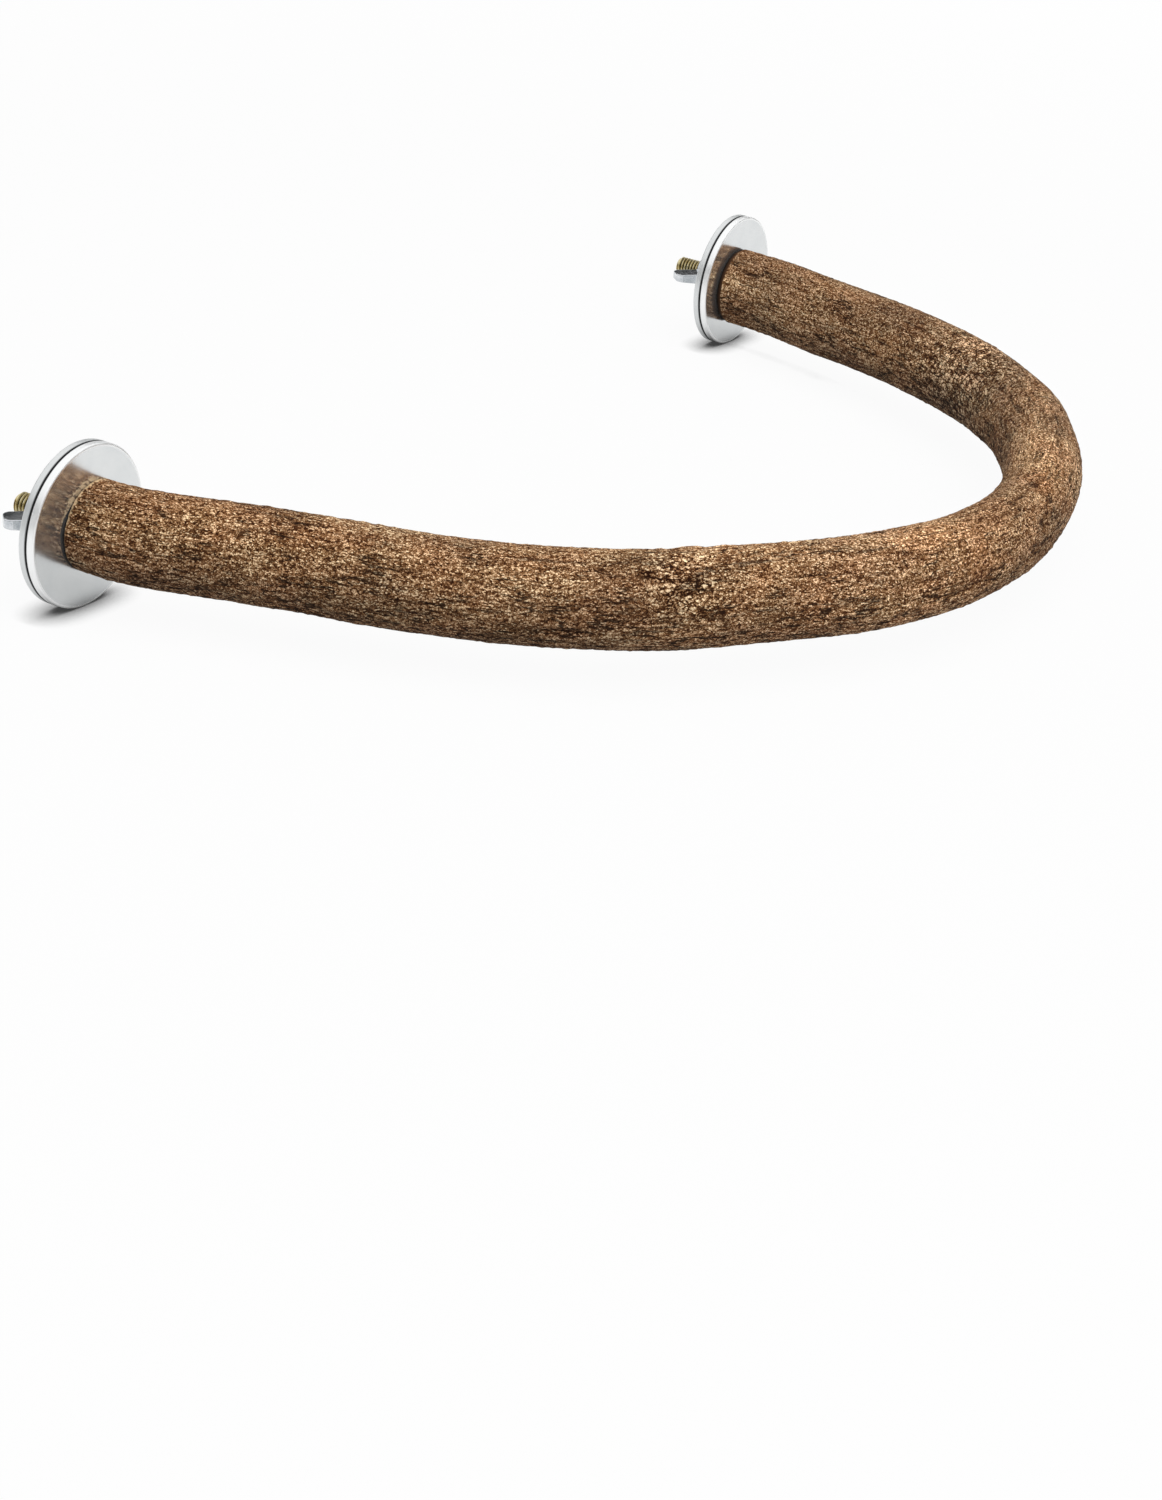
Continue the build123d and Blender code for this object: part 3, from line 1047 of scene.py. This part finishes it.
studioSet = {
    "floorSize": 8.0,
    "bounce": 0.5,  # how much light the floor throws back
    "glow": 0.95,  # share of the floor that is white by itself
    "allWhite": (0.35, 1.0),  # from here outwards the floor turns all white
    "contactRange": (0.4, 0.95),  # how open a place is, in full contact shadow and in none
    "contactReach": 7.5 * mm,  # how far a contact shadow spreads
    "contactSamples": 8,
    "contactDark": 0.05,
    "mirrorReach": 30 * mm,  # the same in what polished metal mirrors
    "mirrorSamples": 4,
    "mirrorDark": 0.66,
    "ambient": 0.55,
    "softboxes": {
        "keyLight": {"place": (0.5, -0.3, 1.45), "power": 26.0, "size": 1.6},
        "fillLight": {"place": (1.2, -0.4, 0.7), "power": 6.0, "size": 1.6},
    },
    "aim": (0.06, 0, 0),
    "flagReach": 3.4,
    "flagSides": 64,
    "flags": {"lowFlag": (0, 0.34), "highFlag": (0.86, 1.54)},  # bottom and top above the floor
    "flagColour": (0.1, 0.1, 0.1, 1),
    "flagRoughness": 0.9,
}


def seenRays(tree):  # 1 for rays that show the background as it is
    path = addNode(tree, "ShaderNodeLightPath", {})
    seen = maths(tree, "MAXIMUM", path.outputs["Is Camera Ray"], path.outputs["Is Glossy Ray"])
    return maths(tree, "MAXIMUM", seen, path.outputs["Is Transmission Ray"])


def openness(tree, reach, samples):  # 1 in the open, less beside an object
    return addNode(tree, "ShaderNodeAmbientOcclusion", {"Distance": reach}, samples=samples).outputs["AO"]


def makeFloor():
    bpy.ops.mesh.primitive_plane_add(size=studioSet["floorSize"], location=(0, 0, -washerRadius))
    floor = newPiece("floor")
    freeze(floor)
    material, tree = newMaterial("paleFloor")[:2]
    tree.nodes.clear()
    bounce = studioSet["bounce"]
    matte = addNode(tree, "ShaderNodeBsdfDiffuse", {"Color": (bounce, bounce, bounce, 1)})
    contact = openness(tree, studioSet["contactReach"], studioSet["contactSamples"])
    strength = spread(tree, contact, *studioSet["contactRange"], studioSet["contactDark"], 1.0)
    # polished metal mirrors a floor with painted shade close to the object
    mirrored = openness(tree, studioSet["mirrorReach"], studioSet["mirrorSamples"])
    mirrorLoss = spread(tree, mirrored, *studioSet["contactRange"], 1 - studioSet["mirrorDark"], 0)
    glossy = addNode(tree, "ShaderNodeLightPath", {}).outputs["Is Glossy Ray"]
    kept = maths(tree, "SUBTRACT", 1, product(tree, glossy, mirrorLoss))
    strength = product(tree, strength, kept)
    glow = addNode(tree, "ShaderNodeEmission", {"Color": (1, 1, 1, 1), "Strength": strength})
    distance = vectorMaths(tree, "LENGTH", {0: objectPlace(tree)}, "Value")
    white = spread(tree, distance, *studioSet["allWhite"], studioSet["glow"], 1.0)
    share = product(tree, seenRays(tree), white)
    mix = addNode(tree, "ShaderNodeMixShader", {0: share, 1: matte.outputs[0], 2: glow.outputs[0]})
    addNode(tree, "ShaderNodeOutputMaterial", {"Surface": mix.outputs[0]})
    floor.data.materials.append(material)


def makeFlags():  # dark bands round the studio, seen only in polished metal
    material, tree, shader = newMaterial("flagCloth")
    setSockets(tree, shader, {
        "Base Color": studioSet["flagColour"],
        "Roughness": studioSet["flagRoughness"],
    })
    for name, (bottom, top) in studioSet["flags"].items():
        flag = addCylinder(
            name, studioSet["flagSides"], studioSet["flagReach"], top - bottom,
            (0, 0, (bottom + top) / 2 - washerRadius), end_fill_type="NOTHING",
        )
        flag.data.materials.append(material)
        flag.visible_camera = False
        flag.visible_diffuse = False
        flag.visible_shadow = False


def makeWorld():
    world = bpy.data.worlds.new("studio")
    world.use_nodes = True
    tree = world.node_tree
    strength = spread(tree, seenRays(tree), 0, 1, studioSet["ambient"], 1.0)
    setSockets(tree, tree.nodes["Background"], {"Color": (1, 1, 1, 1), "Strength": strength})
    bpy.context.scene.world = world


def addSoftbox(name, place, power, size):
    bpy.ops.object.light_add(type="AREA", location=place)
    box = bpy.context.object
    box.name = name
    box.data.energy = power
    box.data.size = size
    box.visible_glossy = False  # polished metal shows the white room instead, and doesn't clip
    aim = Vector(studioSet["aim"]) - Vector(place)
    box.rotation_euler = aim.to_track_quat("-Z", "Y").to_euler()


cameraSet = {
    "place": (0.43827, -0.71315, 0.26675),
    "heading": 28.406,  # degrees from +Y towards -X
    "downwards": 23.922,
    "roll": 6.786,
    "lens": 76.8,  # mm, like the frame's width
    "frameWidth": 36,
    "nearest": 10 * mm,
}


def makeCamera():
    lens = bpy.data.cameras.new("photoCamera")
    lens.lens = cameraSet["lens"]
    lens.sensor_width = cameraSet["frameWidth"]
    lens.clip_start = cameraSet["nearest"]
    camera = bpy.data.objects.new("photoCamera", lens)
    bpy.context.scene.collection.objects.link(camera)
    heading = Matrix.Rotation(math.radians(cameraSet["heading"]), 4, "Z")
    tilt = Matrix.Rotation(math.radians(90 - cameraSet["downwards"]), 4, "X")
    roll = Matrix.Rotation(math.radians(cameraSet["roll"]), 4, "Z")
    camera.matrix_world = Matrix.Translation(cameraSet["place"]) @ heading @ tilt @ roll
    bpy.context.scene.camera = camera


makeFloor()
makeFlags()
makeWorld()
for name, row in studioSet["softboxes"].items():
    addSoftbox(name, **row)
makeCamera()
bpy.context.scene.view_settings.view_transform = "Standard"
print("studio done")
